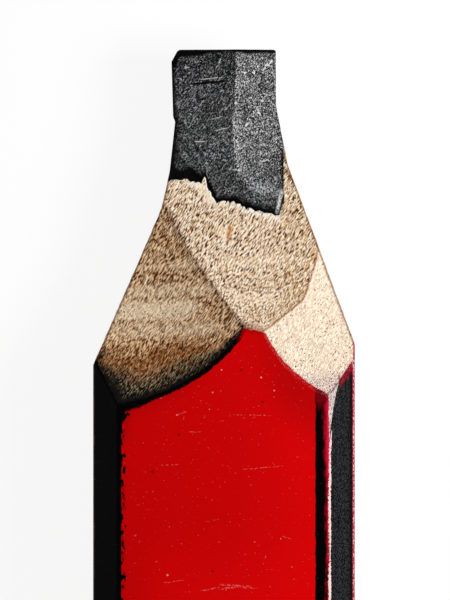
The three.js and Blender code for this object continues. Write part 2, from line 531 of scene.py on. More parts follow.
def lacquer_sleeve(name, flat_steps, rows):
    """The sleeve: rows run along the outside to the cut edge and back along the inside."""
    points, normals = rounded_section(BAR_FLATS, CORNER_RADIUS, flat_steps, FILM_ARC)
    x, z = points.T
    inner_x, inner_z = (points - (FILM + WALL) * normals).T
    bevel_mm, along = bevel_distance_field(points, normals)
    flaked = np.clip((bevel_mm - bevel_half + FLAKE_WIDTH) / FLAKE_WIDTH, 0, 1) ** 2
    flaked = flaked * step(bevel_half + FLAKE_EDGE, bevel_half, bevel_mm) * (x > 0) * (z > 0)
    chip = EDGE_CHIP * hills(along / EDGE_CHIP_SIZE, np.full_like(along, 2.5)) ** 2
    loss = np.maximum(chip * (x > 0), FLAKE_LENGTH * flaked)
    cut_edge = leaves_at(x, z) + loss
    share = np.linspace(1, 0, rows)[:, None] ** 2
    from_tip = stub_length * share + cut_edge * (1 - share)
    corner = np.exp(-(((np.abs(bevel_mm) - bevel_half) / WEAR_WIDTH) ** 2))
    nicks = step(*NICK_LEVELS, hills(from_tip / NICK_LENGTH + 17, along / NICK_WIDTH + 0 * from_tip))
    wear = WEAR_DEPTH * corner * (EVEN_WEAR + (1 - EVEN_WEAR) * nicks)
    outer = points_at(x - wear * normals[:, 0], from_tip, z - wear * normals[:, 1])
    inner_edge = np.minimum(leaves_at(inner_x, inner_z) + loss, cut_edge - LEAST_SKIN)
    inner_end = points_at(inner_x, inner_edge, inner_z)
    inner_butt = points_at(inner_x, stub_length, inner_z)
    grid = np.concatenate([outer, inner_end[None], inner_butt[None]])
    cells = grid_cells(len(grid), len(x), True, True)
    from_cut = from_tip - cut_edge
    attributes = {
        "bevel_mm": np.tile(bevel_mm, len(grid)),
        "from_cut": np.concatenate([from_cut, from_cut[-1:], from_cut[:1]]),
    }
    return make_piece(name, grid.reshape(-1, 3), cells, [], attributes)


lacquer = lacquer_sleeve("lacquer", flat_steps=[28, 30, 200, 30, 28, 24, 70, 24], rows=170)

# %% [markdown]
# ## Shared effects
#
# Wood, graphite and lacquer all need grain, specks and single strokes such as scratches. Each of these
# is a node group, built once and placed in every material with its own values. All of them work in
# millimetres of the object's own coordinates, so nothing stretches and nothing slides.
#
# Nodes could be joined link by link, but a formula is easier to read. So a number that changes over the
# surface is a Field here, and each sum or product of fields adds a Math node.

# %% Fields
def put(tree, kind, inputs=None, **settings):
    """Add a node, apply its settings, and set or link its inputs by name or number."""
    made = tree.nodes.new(kind)
    for label, value in settings.items():
        setattr(made, label, value)
    for label, value in (inputs or {}).items():
        if isinstance(value, Field):
            value = value.socket
        if isinstance(value, bpy.types.NodeSocket):
            tree.links.new(value, made.inputs[label])
        else:
            made.inputs[label].default_value = value
    return made


class Field:
    """A number that changes over a surface. Each operation on it adds a Math node to its tree."""

    def __init__(self, socket):
        self.socket = socket
        self.tree = socket.id_data

    def maths(self, operation, first, second=0.0):
        made = put(self.tree, "ShaderNodeMath", {0: first, 1: second}, operation=operation)
        return Field(made.outputs[0])

    def __add__(self, other):
        return self.maths("ADD", self, other)

    def __sub__(self, other):
        return self.maths("SUBTRACT", self, other)

    def __rsub__(self, other):
        return self.maths("SUBTRACT", other, self)

    def __mul__(self, other):
        return self.maths("MULTIPLY", self, other)

    def __truediv__(self, other):
        return self.maths("DIVIDE", self, other)

    def __rtruediv__(self, other):
        return self.maths("DIVIDE", other, self)

    def __pow__(self, other):
        return self.maths("POWER", self, other)

    def __abs__(self):
        return self.maths("ABSOLUTE", self)


def strongest(first, *others):
    """The largest of several fields."""
    for other in others:
        first = first.maths("MAXIMUM", first, other)
    return first


def ramp(field, low, high):
    """A smooth step from 0 at low to 1 at high, which may run downwards."""
    inputs = {"Value": field, "From Min": low, "From Max": high}
    made = put(field.tree, "ShaderNodeMapRange", inputs, interpolation_type="SMOOTHSTEP")
    return Field(made.outputs["Result"])


def blend(share, first, second):
    """Two colours mixed by a share."""
    made = put(share.tree, "ShaderNodeMix", {0: share}, data_type="RGBA")
    for socket, value in ((made.inputs[6], first), (made.inputs[7], second)):
        if isinstance(value, bpy.types.NodeSocket):
            share.tree.links.new(value, socket)
        else:
            socket.default_value = (*value, 1)
    return made.outputs[2]


def layered(colour, *layers):
    """Layers of paint over a colour, in order, each as its share and its own colour."""
    for share, paint in layers:
        colour = blend(share, colour, paint)
    return colour


def noise(vector, scale, detail):
    inputs = {"Vector": vector, "Scale": scale, "Detail": detail}
    return Field(put(vector.id_data, "ShaderNodeTexNoise", inputs).outputs["Fac"])


def vector_maths(operation, first, second):
    made = put(first.id_data, "ShaderNodeVectorMath", {0: first, 1: second}, operation=operation)
    return made.outputs[0]


def turned(vector, angle):
    """A vector turned about the upright axis."""
    inputs = {0: vector, "Angle": angle}
    return put(vector.id_data, "ShaderNodeVectorRotate", inputs, rotation_type="Z_AXIS").outputs[0]


def parts(vector):
    """The three parts of a vector, as fields."""
    return [Field(part) for part in put(vector.id_data, "ShaderNodeSeparateXYZ", {0: vector}).outputs]


print("fields can be added, multiplied and blended")


# %% Grain, specks and strokes
SPECK_EDGE = 0.06
STROKE_WANDER = 0.1
STROKE_BREAK = 0.2
FRONT_EDGE = 0.2


def new_group(name, labels):
    """An empty node group with a vector, named number inputs and one Mask output."""
    group = bpy.data.node_groups.new(name, "ShaderNodeTree")
    group.interface.new_socket("Vector", in_out="INPUT", socket_type="NodeSocketVector")
    for label in labels:
        group.interface.new_socket(label, in_out="INPUT", socket_type="NodeSocketFloat")
    group.interface.new_socket("Mask", in_out="OUTPUT", socket_type="NodeSocketFloat")
    given = put(group, "NodeGroupInput").outputs
    return group, given["Vector"], [Field(given[label]) for label in labels]


def make_grain():
    """Streaks: noise squeezed to a width and stretched to a length, along a direction."""
    group, place, (turn, width, length, seed) = new_group("grain", ["Turn", "Width", "Length", "Seed"])
    across = 1.0 / width
    along = 1.0 / length
    depth = (across * along) ** 0.5
    shape = put(group, "ShaderNodeCombineXYZ", {0: across, 1: along, 2: depth}).outputs[0]
    inputs = {0: turned(place, turn), 1: shape, 2: seed}
    squeezed = put(group, "ShaderNodeVectorMath", inputs, operation="MULTIPLY_ADD").outputs[0]
    put(group, "NodeGroupOutput", {"Mask": noise(squeezed, 1.0, 1.0)})
    return group


def make_specks():
    """Specks: the peaks of a noise of a given size, above a level."""
    group, place, (size, level, seed) = new_group("specks", ["Size", "Level", "Seed"])
    peaks = noise(vector_maths("ADD", place, seed), 1.0 / size, 1.5)
    put(group, "NodeGroupOutput", {"Mask": ramp(peaks, level, level + SPECK_EDGE)})
    return group


def make_stroke():
    """One stroke: a thin bar at a place, of a length and a width, at a tilt, broken up by noise."""
    labels = ["X", "Y", "Length", "Width", "Tilt", "Gaps"]
    group, place, (x, y, length, width, tilt, gaps) = new_group("stroke", labels)
    centre = put(group, "ShaderNodeCombineXYZ", {0: x, 1: y}).outputs[0]
    along, aside, _ = parts(turned(vector_maths("SUBTRACT", place, centre), 0.0 - tilt))
    drift = (noise(place, 3.0, 2.0) - 0.5) * STROKE_WANDER
    reach = length * 0.5
    ends = ramp(abs(along), reach, reach * 0.5)
    sides = ramp(abs(aside + drift), width * 0.5, 0.0)
    broken = ramp(noise(place, 9.0, 1.0), gaps, gaps + STROKE_BREAK)
    put(group, "NodeGroupOutput", {"Mask": ends * sides * broken})
    return group


GRAIN = make_grain()
SPECKS = make_specks()
STROKE = make_stroke()
print("node groups:", [group.name for group in bpy.data.node_groups])


# %% Placing the effects
def use(group, fields, **values):
    """Place a node group on a piece and give its Mask."""
    place = fields.place
    made = put(place.id_data, "ShaderNodeGroup", {"Vector": place, **values}, node_tree=group)
    return Field(made.outputs["Mask"])


def grain(fields, width, length, seed, turn=FIBRE_LEAN):
    """Streaks on a piece, along the fibres unless turned."""
    return use(GRAIN, fields, Turn=turn, Width=width, Length=length, Seed=seed)


def strokes(fields, marks, gaps=0.3):
    """The strongest of several strokes on the front: across, from the tip, length, width and tilt."""
    masks = []
    for across, from_tip, length, width, tilt in marks:
        values = dict(X=across, Y=tip_y - from_tip, Length=length, Width=width, Tilt=np.radians(tilt))
        masks.append(use(STROKE, fields, Gaps=gaps, **values))
    return strongest(*masks) * fields.on_front


def dots(fields, marks):
    """Small round marks on the front: across, from the tip and size."""
    flat = vector_maths("MULTIPLY", fields.place, (1, 1, 0))
    masks = []
    for across, from_tip, size in marks:
        inputs = {0: flat, 1: (across, tip_y - from_tip, 0)}
        away = put(flat.id_data, "ShaderNodeVectorMath", inputs, operation="DISTANCE")
        masks.append(ramp(Field(away.outputs["Value"]), size, size / 3))
    return strongest(*masks) * fields.on_front


def read_field(tree, label):
    return Field(put(tree, "ShaderNodeAttribute", attribute_name=label).outputs["Fac"])


def fields_of(tree, labels):
    """Places in millimetres and the mesh's own fields, that all the effects on a piece share."""
    fields = SimpleNamespace()
    place = put(tree, "ShaderNodeTexCoord").outputs["Object"]
    inputs = {0: place, "Scale": 1 / MM}
    fields.place = put(tree, "ShaderNodeVectorMath", inputs, operation="SCALE").outputs[0]
    fields.x, y, fields.z = parts(fields.place)
    fields.down = tip_y - y
    fields.on_front = ramp(fields.z, middle, middle + FRONT_EDGE)
    for label in labels:
        setattr(fields, label, read_field(tree, label))
    return fields


def surface(name, pieces):
    """An empty material on the given pieces, with its Principled shader."""
    material = bpy.data.materials.new(name)
    material.use_nodes = True
    for piece in pieces:
        piece.data.materials.clear()
        piece.data.materials.append(material)
    return material.node_tree, material.node_tree.nodes["Principled BSDF"]


def fit_surface(shader, colour, roughness, height, depth):
    """Lead a colour, a roughness and a bump height into a Principled shader."""
    tree = shader.id_data
    bump = put(tree, "ShaderNodeBump", {"Height": height, "Distance": depth * MM, "Strength": 1.0})
    tree.links.new(colour, shader.inputs["Base Color"])
    tree.links.new(roughness.socket, shader.inputs["Roughness"])
    tree.links.new(bump.outputs["Normal"], shader.inputs["Normal"])


print("effects can be placed by distance across and from the tip")

# %% [markdown]
# ## Bare wood
#
# The knife tore the fibres, so the wood is a weave of short dark and pale dashes that all lean one way.
# The three cuts differ: the middle one is clean tan, the left one is brown with handling and almost black
# where it meets the lacquer, the right one crosses the grain and shows it as dots on cream. The meshes
# carry fields that say which cut a point lies on, and how far it is from lacquer, torn end and side.
# Each effect gives layers of paint, and the material lays them over the clean wood in order.

# %% Wood colours and single marks
CLEAN_WOOD = (0.73, 0.495, 0.275)
PALE_WOOD = (0.89, 0.655, 0.45)
HANDLED_WOOD = (0.70, 0.355, 0.15)
TAN_WOOD = (0.60, 0.37, 0.15)
BAND_WOOD = (0.98, 0.77, 0.52)
LATE_WOOD = (0.34, 0.17, 0.07)
STAIN_AND_SHADE_WOOD = (0.24, 0.074, 0.012)
DARK_DASH = (0.08, 0.02, 0.002)
DASH_SHADE = (0.43, 0.18, 0.045)
CREAM = (0.715, 0.55, 0.42)
CREAM_SHADE = (0.64, 0.475, 0.35)
PALE_FIBRE_AND_HIGHLIGHT = (0.97, 0.87, 0.71)
WARM_FIBRE = (1.0, 0.76, 0.49)
FRINGE = (0.94, 0.88, 0.78)
SOOT_AND_SHADE = (0.003, 0.003, 0.0028)
MURK = (0.088, 0.05, 0.02)
ASH = (0.53, 0.45, 0.28)
CRIMSON_STAIN = (0.40, 0.03, 0.06)
PRIMER = (0.54, 0.50, 0.465)
GAP = (0.05, 0.008, 0.022)
TATTER = (0.58, 0.46, 0.44)
RESIN = (0.52, 0.16, 0.005)
FLECKS = [(0.27, 9.85, 0.95, 0.42, 78), (0.22, 10.25, 0.6, 0.26, 84)]
PALE_LINES = [
    (-2.86, 9.8, 0.6, 0.11, 76),
    (-4.15, 12.4, 0.8, 0.12, 70),
    # The stroke by the resin fleck is its painted highlight.
    (0.06, 10.1, 1.5, 0.36, 80),
    (0.2, 8.9, 0.5, 0.09, 80),
]
PALE_BANDS = [(-4.4, 14.05, 7.8, 1.9, 2), (-0.95, 7.75, 2.0, 0.8, -50)]
PALE_STREAKS = [
    (-3.4, 15.1, 8.5, 1.5, 2),
    (-3.2, 13.0, 7.0, 1.4, 2),
    (-3.3, 11.7, 4.5, 0.5, 3),
    (1.6, 13.5, 3.4, 0.8, -4),
    (1.4, 11.4, 5.0, 0.7, 3),
]
BROWN_PATCHES = [(-2.75, 9.3, 1.8, 0.9, -52), (0.75, 14.5, 1.6, 0.8, -50), (3.5, 6.8, 1.4, 0.6, -66)]
DARK_LINES = [(1.9, 12.85, 2.4, 0.11, 2), (2.4, 10.6, 1.6, 0.07, 3)]
WOOD_RELIEF = 0.06
WOOD_GLOSS = 0.05
PITH = (9, 0, -24)
RINGS_PER_MM = 0.22
STAIN_TOP = 15.2
STAIN_FOOT = 16.2
SOOT_AND_SHADE_FOOT = 17.2
TATTER_TOP = 17.2
TATTER_FOOT = 17.9
print(f"{len(PALE_LINES + FLECKS + DARK_LINES)} single marks on the wood")


# %% Grain and stain of the wood
def wood_fields(tree):
    """Grains, the three cuts, the stain of the left cut and its pale bands."""
    labels = ["left_cut", "right_cut", "from_lacquer", "from_end", "from_side", "sawn"]
    wood = fields_of(tree, labels)
    wood.dashes = grain(wood, width=0.046, length=0.25, seed=0)
    wood.threads = grain(wood, width=0.043, length=0.34, seed=7)
    wood.pores = grain(wood, width=0.075, length=0.12, seed=5)
    wood.tint = grain(wood, width=0.5, length=0.8, seed=9)
    patches = grain(wood, width=1.6, length=1.2, seed=3, turn=0.0)
    wood.cloudy = (patches - 0.5) * 1.2
    wood.right = ramp(wood.right_cut, -0.006, 0.006)
    wood.not_right = 1.0 - wood.right
    wood.left = ramp(wood.left_cut + (0.5 - wood.dashes) * 0.7, -0.012, 0.014)
    # near_ridge: painted shade just outside the left cut, along its ridge.
    wood.near_ridge = ramp(wood.left_cut, -0.09, 0.0) * (1.0 - wood.left)
    wood.below_top = ramp(wood.down, 8.4, 10.4) * 0.75 + 0.25
    wood.soiled = ramp(wood.down + wood.x * 0.1 - wood.cloudy, STAIN_TOP, STAIN_FOOT) * wood.left
    bands = ramp(strokes(wood, PALE_BANDS), 0.0, 0.75)
    wood.band = strongest(bands, strokes(wood, PALE_STREAKS) * 0.7)
    return wood


def handling(wood):
    """Wood browned by light and handling, with painted shade along the ridge, pale bands and a cream cut.
    """
    tan = ramp(wood.right_cut, -0.6, -0.02) * ramp(wood.down, 15.5, 13.5) * 0.5
    sunned = ramp(wood.x, 1.8, 4.0) * 0.6
    rings = grain(wood, width=6.0, length=0.9, seed=2, turn=np.radians(4))
    handled = blend(ramp(rings, 0.35, 0.9), HANDLED_WOOD, CLEAN_WOOD)
    handled = blend(ramp(wood.down, 11.8, 8.8) * 0.7, handled, CLEAN_WOOD)
    above_foot = ramp(wood.down, 14.2, 12.6) * 0.65 + 0.35
    # Painted shade along the left cut's ridge, on both sides of it.
    ridge = ramp(wood.left_cut, 0.30, 0.0) * wood.left * 0.72 + wood.near_ridge * 0.45
    cream = blend(ramp(wood.tint, 0.35, 0.65), CREAM, CREAM_SHADE)
    return [
        (tan, HANDLED_WOOD),
        (sunned, TAN_WOOD),
        (wood.left, handled),
        (ridge * wood.below_top * above_foot, STAIN_AND_SHADE_WOOD),
        (wood.band, BAND_WOOD),
        (wood.soiled * 0.95, STAIN_AND_SHADE_WOOD),
        (wood.right, cream),
        (strokes(wood, BROWN_PATCHES) * wood.not_right * 0.9, STAIN_AND_SHADE_WOOD),
    ]


print(f"the stain starts {STAIN_TOP} mm from the tip")


# %% Weave of fibres
def weave(wood):
    """Pale threads and dark dashes, dots on the cream cut, and painted shade beside the ridge, partly as
    dark dashes.
    """
    white = ramp(wood.threads, 0.485, 0.53) * (0.9 - wood.soiled * 0.3 - wood.right * 0.25)
    warm = blend(wood.soiled * 0.65, WARM_FIBRE, HANDLED_WOOD)
    warm_share = wood.left * (1.0 - wood.band * 0.55)
    packed = wood.dashes - wood.left * 0.04
    shown = 1.0 - wood.band * 0.75
    # by_ridge: painted shade in dark dashes along the left cut's ridge.
    by_ridge = ramp(abs(wood.left_cut), 0.15, 0.03) * ramp(wood.dashes, 0.54, 0.46)
    shore = ramp(abs(wood.right_cut), 0.05, 0.01) * ramp(wood.pores, 0.25, 0.5)
    return [
        (white, blend(warm_share, PALE_FIBRE_AND_HIGHLIGHT, warm)),
        # More painted shade beside the ridge, over the pale threads.
        (wood.near_ridge * 0.35, STAIN_AND_SHADE_WOOD),
        (ramp(packed, 0.495, 0.44) * wood.not_right * shown * 0.7, DASH_SHADE),
        (ramp(packed, 0.455, 0.42) * wood.not_right * shown, DARK_DASH),
        (ramp(wood.pores, 0.62, 0.70) * wood.right * 0.9, DARK_DASH),
        (by_ridge * wood.below_top * 0.9, DARK_DASH),
        (shore * 0.75, STAIN_AND_SHADE_WOOD),
    ]


def soot_and_shade(wood):
    """Beside the lacquer: brown painted shade on the middle and left cuts, then on the left cut dirt with
    painted shade, murky and then black, with pale crumbs.
    """
    # foot: brown painted shade along the lacquer's edge, on the middle and left cuts.
    foot = ramp(wood.from_lacquer, 0.5, 0.05) * wood.not_right * 0.6
    low_down = ramp(wood.down + wood.x * 0.2, STAIN_TOP, SOOT_AND_SHADE_FOOT)
    # murky and black: dirt with painted shade on the left cut, widest low down beside the lacquer.
    clear_of = (wood.from_lacquer + wood.cloudy) / (low_down * 2.1 + 0.4)
    murky = ramp(clear_of, 1.1, 0.2) * wood.left * 0.7
    hollows = ramp(wood.dashes, 0.66, 0.34)
    black = ramp(clear_of - hollows * 0.9, 0.26, -0.02) * wood.left
    crumbs = ramp(wood.threads, 0.56, 0.63) * black * ramp(wood.from_lacquer, 0.1, 0.9) * 0.75
    return [(foot, STAIN_AND_SHADE_WOOD), (murky, MURK), (black, SOOT_AND_SHADE), (crumbs, ASH)]


print("weave and soot ready")


# %% Edges and marks of the wood
def wood_edges(wood):
    """Rims of the wood: stained and flaked at the lacquer, frayed pale at the lead with a painted
    highlight, painted shade along the sides.
    """
    by_film = ramp(wood.from_lacquer, 0.16, 0.02) * ramp(wood.from_lacquer, -0.05, 0.0) * wood.right
    frayed = ramp(wood.from_end, 0.42, 0.06) * ramp(wood.threads, 0.34, 0.54)
    # The pale fringe of torn fibres is partly a painted highlight.
    fringe_pale_and_lit = (ramp(wood.x, -2.2, -1.6) * 0.75 + 0.2) * ramp(wood.x, 3.2, 2.95)
    tattered = ramp(wood.down, TATTER_TOP, TATTER_FOOT) * wood.right
    crack = ramp(wood.from_lacquer, -0.12, -0.05) * ramp(wood.from_lacquer, 0.02, -0.02) * wood.right
    # Painted shade: a dark outline along the trimmed sides.
    edges = ramp(wood.from_side, 0.2, 0.06) * ramp(wood.dashes, 0.6, 0.46) * 0.8
    edges = strongest(edges, ramp(wood.from_side, 0.13, 0.06) * 0.65)
    side_wood = layered(
        blend(ramp(wood.tint, 0.36, 0.62), HANDLED_WOOD, CLEAN_WOOD),
        (ramp(wood.dashes, 0.48, 0.36) * 0.7, DARK_DASH),
        (ramp(wood.threads, 0.53, 0.66) * 0.5, WARM_FIBRE),
    )
    return [
        (by_film * ramp(wood.pores, 0.4, 0.55) * 0.5, CRIMSON_STAIN),
        (ramp(wood.from_lacquer, 0.0, -0.06) * wood.right, PRIMER),
        (frayed * fringe_pale_and_lit, FRINGE),
        (tattered * 0.5, TATTER),
        (tattered * ramp(wood.pores, 0.5, 0.6) * 0.6, GAP),
        (crack * ramp(wood.x, 5.55, 5.7) * 0.9, GAP),
        (edges, DARK_DASH),
        (ramp(wood.from_side, 0.03, 0.012), side_wood),
    ]


def wood_marks(wood):
    """Pale scratches, a painted highlight by the resin fleck, dark lines and the fleck of resin."""
    pale = ramp(strokes(wood, PALE_LINES), 0.0, 0.7)
    lines = strokes(wood, DARK_LINES, gaps=0.42)
    return [
        (pale * 0.9, PALE_FIBRE_AND_HIGHLIGHT),
        (lines * 0.75, STAIN_AND_SHADE_WOOD),
        (strokes(wood, FLECKS), RESIN),
    ]


def sawn_end(wood):
    """End grain: arcs of late wood about a far pith, pores and the glue line."""
    inputs = {"Vector": vector_maths("SUBTRACT", wood.place, PITH), "Scale": RINGS_PER_MM}
    inputs.update({"Distortion": 1.5, "Detail": 2.0})
    waves = put(wood.x.tree, "ShaderNodeTexWave", inputs, wave_type="RINGS", rings_direction="Y")
    arcs = Field(waves.outputs["Fac"])
    end_grain = layered(
        blend(ramp(arcs, 0.3, 1.0), CLEAN_WOOD, LATE_WOOD),
        (ramp(wood.pores, 0.6, 0.7), DARK_DASH),
        (ramp(abs(wood.z - middle), 0.07, 0.02) * 0.8, DARK_DASH),
    )
    return [(wood.sawn, end_grain)]


print("edges, marks and end grain ready")


# %% Wood material
def bare_wood():
    """Clean wood under all its layers, with the weave as relief."""
    tree, shader = surface("bare_wood", [front_slat, back_slat])
    wood = wood_fields(tree)
    clean = blend(ramp(wood.tint, 0.36, 0.62), CLEAN_WOOD, PALE_WOOD)
    effects = [handling, weave, soot_and_shade, wood_edges, wood_marks, sawn_end]
    colour = layered(clean, *[layer for effect in effects for layer in effect(wood)])
    fit_surface(shader, colour, ramp(wood.dashes, -0.6, 1.0), wood.dashes + wood.threads * 0.6, WOOD_RELIEF)
    shader.inputs["Specular IOR Level"].default_value = WOOD_GLOSS


bare_wood()
print("wood on", front_slat.name, "and", back_slat.name)

# %% [markdown]
# ## Graphite
#
# Cut lead is a fired mix of graphite and clay: grey, gritty, a little metallic, full of fine slanting
# scratches. The left face is painted dark as shade and the right one painted lighter as lit, and the grit
# has painted glints and pit shadows. Black painted shade lies where the blade bit at the wood, along the
# left flank and at the tip's rim.

# %% Lead colours and single marks
# Shaded and lit copies of the graphite for its two faces: painted shade and painted light.
SHADED_GRAPHITE = (0.055, 0.056, 0.059)
SHADED_GRAPHITE_PALE = (0.094, 0.096, 0.10)
SHADED_GRAPHITE_PIT = (0.004, 0.004, 0.0045)
LIT_GRAPHITE = (0.265, 0.265, 0.27)
LIT_GRAPHITE_PIT = (0.014, 0.014, 0.015)
GLINT = (0.75, 0.75, 0.76)
CARBON_AND_SHADE = (0.001, 0.001, 0.001)
LEAD_TAPER = 2.0
LEAD_RELIEF = 0.045
LEAD_METAL = 0.1
LEAD_GLOSS = 0.03
LEAD_SMUDGES = [(-2.0, 0.14, 2.2, 0.75, 2), (-2.66, 0.6, 1.9, 0.62, 74), (-0.8, 1.78, 2.4, 0.2, 5)]
# Scratches, and painted highlights: the lit lower right edge at (2.97, 8.2) and glints at (2.2, 6.0) and
# (1.25, 4.05).
LEAD_SCRATCHES_AND_GLINTS = [
    (-0.65, 1.56, 1.6, 0.07, 5),
    (-1.3, 4.96, 0.7, 0.07, 2),
    (-0.1, 4.3, 1.0, 0.06, 12),
    (-2.0, 0.98, 0.35, 0.08, 8),
    (-0.4, 3.7, 0.9, 0.05, 14),
    (2.2, 6.0, 0.5, 0.12, 14),
    (-1.2, 2.9, 0.5, 0.05, 60),
    (-0.3, 0.75, 0.8, 0.07, 64),
    (2.97, 8.2, 1.6, 0.3, 78),
    (1.25, 4.05, 0.35, 0.16, 50),
    (2.5, 0.72, 0.5, 0.2, 60),
    (2.15, 1.05, 0.3, 0.14, 40),
]
print(f"{len(LEAD_SCRATCHES_AND_GLINTS)} scratches on the lead")


# %% Lead material
def grit_layers(strip):
    """Painted glints and painted pit shadows of the grit, stronger on the lit face, a painted highlight
    along the ridge between the faces, and soft clouds.
    """
    face_share = strip.lit * 0.45 + 0.4
    # rim: a painted highlight along the ridge between the two faces.
    rim = ramp(strip.right_face, 0.0, 0.02) * ramp(strip.right_face, 0.16, 0.05) * strip.tone
    # Painted shadows of pits beside painted glints of grains, offset so that the grit looks lit from one
    # side.
    crater_shadows = use(SPECKS, strip, Size=0.17, Level=0.6, Seed=0.06)
    grain_glints = use(SPECKS, strip, Size=0.17, Level=0.63, Seed=0)
    return [
        (rim * 0.35, GLINT),
        (ramp(strip.grit, 0.60, 0.70) * face_share, GLINT),
        (crater_shadows * face_share, CARBON_AND_SHADE),
        (grain_glints * face_share, GLINT),
        (ramp(strip.scores, 0.56, 0.72) * 0.3, GLINT),
        (ramp(strip.clouds, 0.6, 0.3) * 0.35, CARBON_AND_SHADE),
    ]


def shade_and_mark_layers(strip):
    """Black painted shade at the wood, at the edge of the tip and along the left flank, black smudges, then
    scratches and painted highlights.
    """
    # Painted shade: black along the wood's torn edge, at the tip's edge and down the left flank.
    shade = strip.from_wood + strip.clouds * 0.4 - ramp(strip.x, -0.8, -1.8) * 0.35
    rim_width = strip.from_tip - strip.clouds * 0.4
    flank_width = ramp(strip.from_tip, 2.5, 6.0) * 0.4 + 0.28
    flank = ramp(strip.from_side, flank_width, 0.03) * ramp(strip.x, 0.0, -1.0)
    strip.on_front = ramp(strip.z + LEAD_TAPER, middle, middle + FRONT_EDGE)
    smudge = ramp(strokes(strip, LEAD_SMUDGES, gaps=0.2), 0.0, 0.6)
    return [
        (ramp(shade, 0.66, 0.30), CARBON_AND_SHADE),
        (ramp(rim_width, 0.12, -0.08), CARBON_AND_SHADE),
        (strongest(flank, smudge), CARBON_AND_SHADE),
        (strokes(strip, LEAD_SCRATCHES_AND_GLINTS) * 0.85, GLINT),
    ]


def shaded_and_lit_graphite():
    """One face painted dark as shade and one painted lighter as lit, both of pits and grit, under their
    layers.
    """
    tree, shader = surface("graphite", [lead])
    strip = fields_of(tree, ["right_face", "from_wood", "from_tip", "from_side"])
    strip.grit = grain(strip, width=0.052, length=0.095, seed=0)
    strip.scores = grain(strip, width=0.055, length=0.36, seed=4)
    strip.clouds = grain(strip, width=1.1, length=1.6, seed=2, turn=0.4)
    strip.tone = ramp(strip.grit, 0.44, 0.60)
    # Painted light: the right face is coloured as lit and the left as shaded, and the lit share fades
    # towards the wood.
    lit_face_share = ramp(strip.right_face, -0.012, 0.012)
    strip.lit = lit_face_share * (1.0 - ramp(strip.from_tip, 4.2, 7.6) * 0.75)
    # rubbed here is the shaded face's colour, paler away from the tip.
    rubbed = blend(ramp(strip.from_tip, 1.0, 5.0), SHADED_GRAPHITE, SHADED_GRAPHITE_PALE)
    dark_face = blend(strip.tone, SHADED_GRAPHITE_PIT, rubbed)
    light_face = blend(strip.tone, LIT_GRAPHITE_PIT, LIT_GRAPHITE)
    faces = blend(strip.lit, dark_face, light_face)
    colour = layered(faces, *grit_layers(strip), *shade_and_mark_layers(strip))
    fit_surface(shader, colour, ramp(strip.grit, -0.5, 1.3), strip.grit + strip.scores * 0.5, LEAD_RELIEF)
    shader.inputs["Metallic"].default_value = LEAD_METAL
    shader.inputs["Specular IOR Level"].default_value = LEAD_GLOSS


shaded_and_lit_graphite()
print("graphite on", lead.name)

# %% [markdown]
# ## Lacquer
#
# The coat is red all round, with black rolled over the bevels and a little past their corners. Handling
# has rubbed the corners: black thins to red, and along the very corner the pale ground shows. Soot is
# smeared over the left part of the cut edge. The sleeve carries two fields, the distance from the middle
# of the nearest bevel and the distance from the cut, and all the bands come from them.

# %% Lacquer colours and single marks
RED = (0.545, 0.0006, 0.0012)
LIT_RED = (0.61, 0.0007, 0.0013)
LOWER_LIT_RED = (0.72, 0.0008, 0.0015)
CRIMSON = (0.33, 0.002, 0.012)
BRIGHT_CRIMSON = (0.60, 0.004, 0.034)
CUT_CRIMSON = (0.15, 0.001, 0.010)
SHADE_RED = (0.20, 0.001, 0.002)
BLACK = (0.0008, 0.0008, 0.0008)
WORN_AND_LIT_BLACK = (0.030, 0.032, 0.034)
GROUND = (0.80, 0.56, 0.56)
DUST = (0.78, 0.42, 0.40)
SIDE_SHADE_CRIMSON = (0.24, 0.003, 0.02)
RUBBED_EDGE = (0.20, 0.085, 0.02)
COAT_RELIEF = 0.008
COAT_GLOSS = 0.02
LEFT_LAP = 0.16
LEFT_BLOTS = 0.26
TOP_LAP = 0.2
RIGHT_LAP = 0.76
DUST_DOTS = [
    (-0.13, 17.2, 0.05),
    (1.98, 17.6, 0.06),
    (2.67, 18.3, 0.05),
    (-2.5, 19.6, 0.05),
    (-0.6, 18.4, 0.045),
    (-3.0, 28.1, 0.07),
]
DIRT_DOTS = [
    (0.92, 17.2, 0.1),
    (2.05, 18.9, 0.11),
    (-2.4, 20.65, 0.1),
    (-3.8, 22.6, 0.11),
    (-0.6, 27.9, 0.1),
]
SCRATCHES = [
    (1.5, 19.6, 2.3, 0.05, -1),
    (-2.9, 22.25, 1.1, 0.05, 1),
    (-1.55, 20.5, 0.7, 0.05, 0),
    (2.0, 22.4, 2.6, 0.045, 5),
    (-2.2, 19.5, 0.7, 0.05, 20),
    (-2.15, 19.9, 0.5, 0.06, 80),
    (0.6, 28.66, 1.9, 0.14, -3),
    (0.2, 28.8, 1.3, 0.1, 6),
    (-0.75, 28.85, 1.2, 0.07, 12),
    (1.35, 28.78, 1.0, 0.07, -4),
    (-2.7, 28.45, 1.3, 0.05, 7),
    (-0.6, 25.2, 0.8, 0.035, 12),
    (3.3, 26.1, 0.7, 0.035, -15),
]
print(f"{len(SCRATCHES)} scratches and {len(DUST_DOTS + DIRT_DOTS)} dots on the lacquer")


